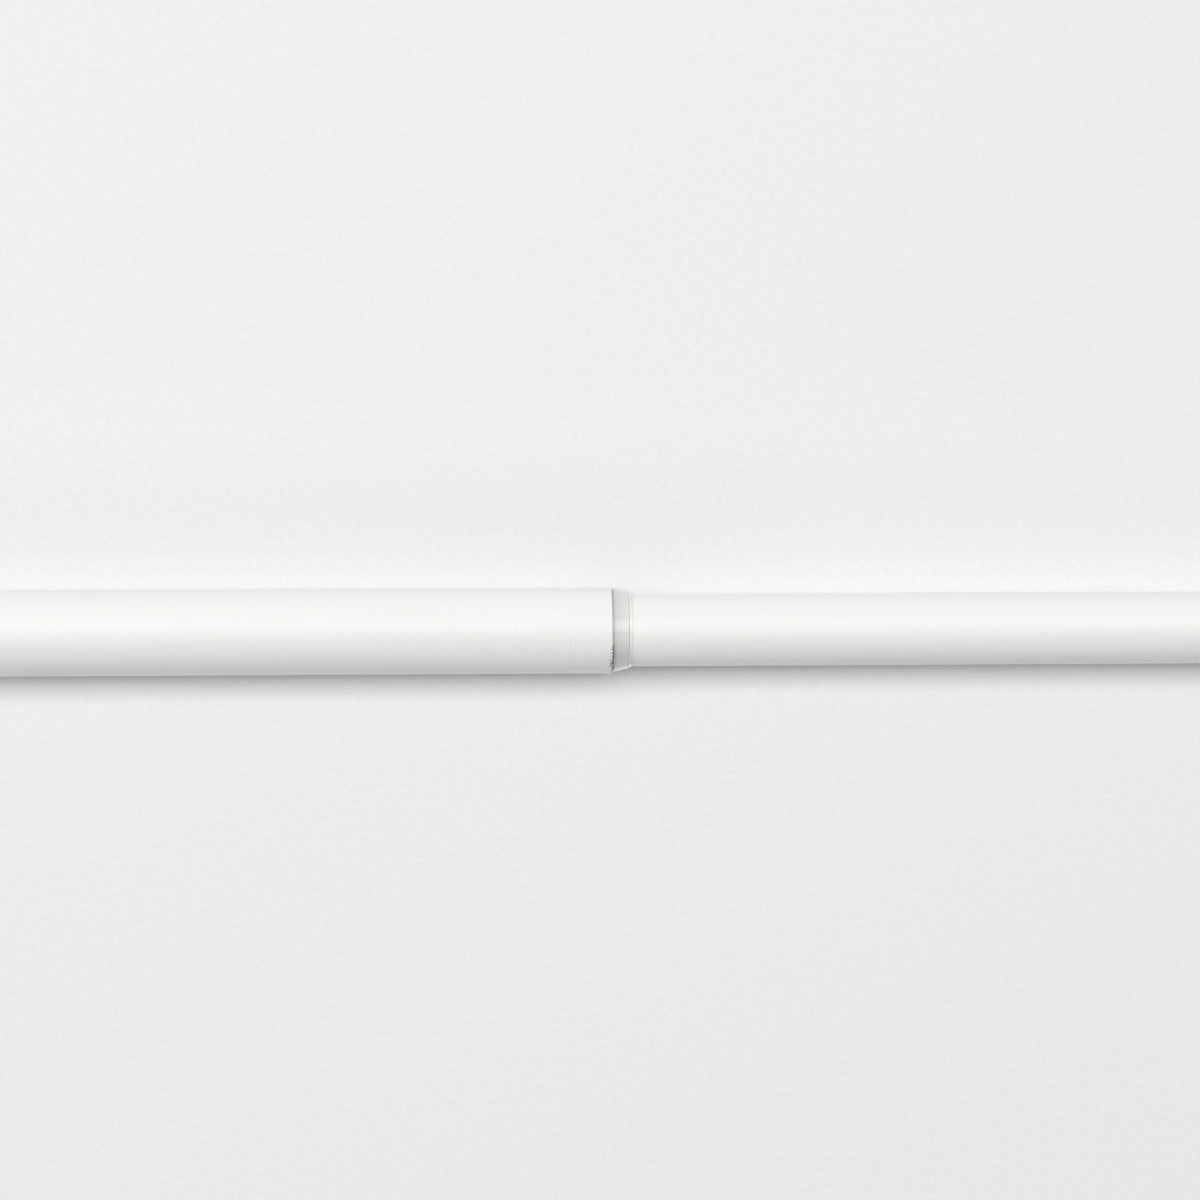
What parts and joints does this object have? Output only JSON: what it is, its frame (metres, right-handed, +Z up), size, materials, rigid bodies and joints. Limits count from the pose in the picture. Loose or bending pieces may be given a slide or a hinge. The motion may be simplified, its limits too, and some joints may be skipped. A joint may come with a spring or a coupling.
{
  "type": "extendable curtain rod",
  "caption": "Telescoping steel curtain rod: a slim white tube slides and turns in a larger one through a translucent tapered collar, with a plain plug in each end.",
  "frame": {"origin": "middle of the flat end face of the larger tube's end plug, on the rod's axis", "axes": "+X along the rod from the larger tube to the smaller one, +Z up; the rod is round, so Y and Z are alike"},
  "size_m": [0.95, 0.019, 0.019],
  "materials": {
    "powder_coated_steel": "satin white powder coat on welded steel tube",
    "translucent_collar_plastic": "milky translucent polypropylene, as moulded",
    "natural_bush_plastic": "natural acetal, as moulded",
    "white_plug_plastic": "white polyethylene, fine satin"
  },
  "bodies": {
    "outer": {"outer_tube": "powder_coated_steel", "transition_collar": "translucent_collar_plastic", "outer_end_plug": "white_plug_plastic"},
    "guide": {"guide_bush": "natural_bush_plastic"},
    "inner": {"inner_tube": "powder_coated_steel", "inner_end_plug": "white_plug_plastic"}
  },
  "joints": [
    {"name": "extension", "type": "slide", "parent": "outer", "child": "guide", "axis": [1, 0, 0], "range_m": [-0.25, 0.25]},
    {"name": "twist", "type": "hinge", "parent": "guide", "child": "inner", "pos_m": [0.3816, 0, 0], "axis": [1, 0, 0], "continuous": true}
  ]
}
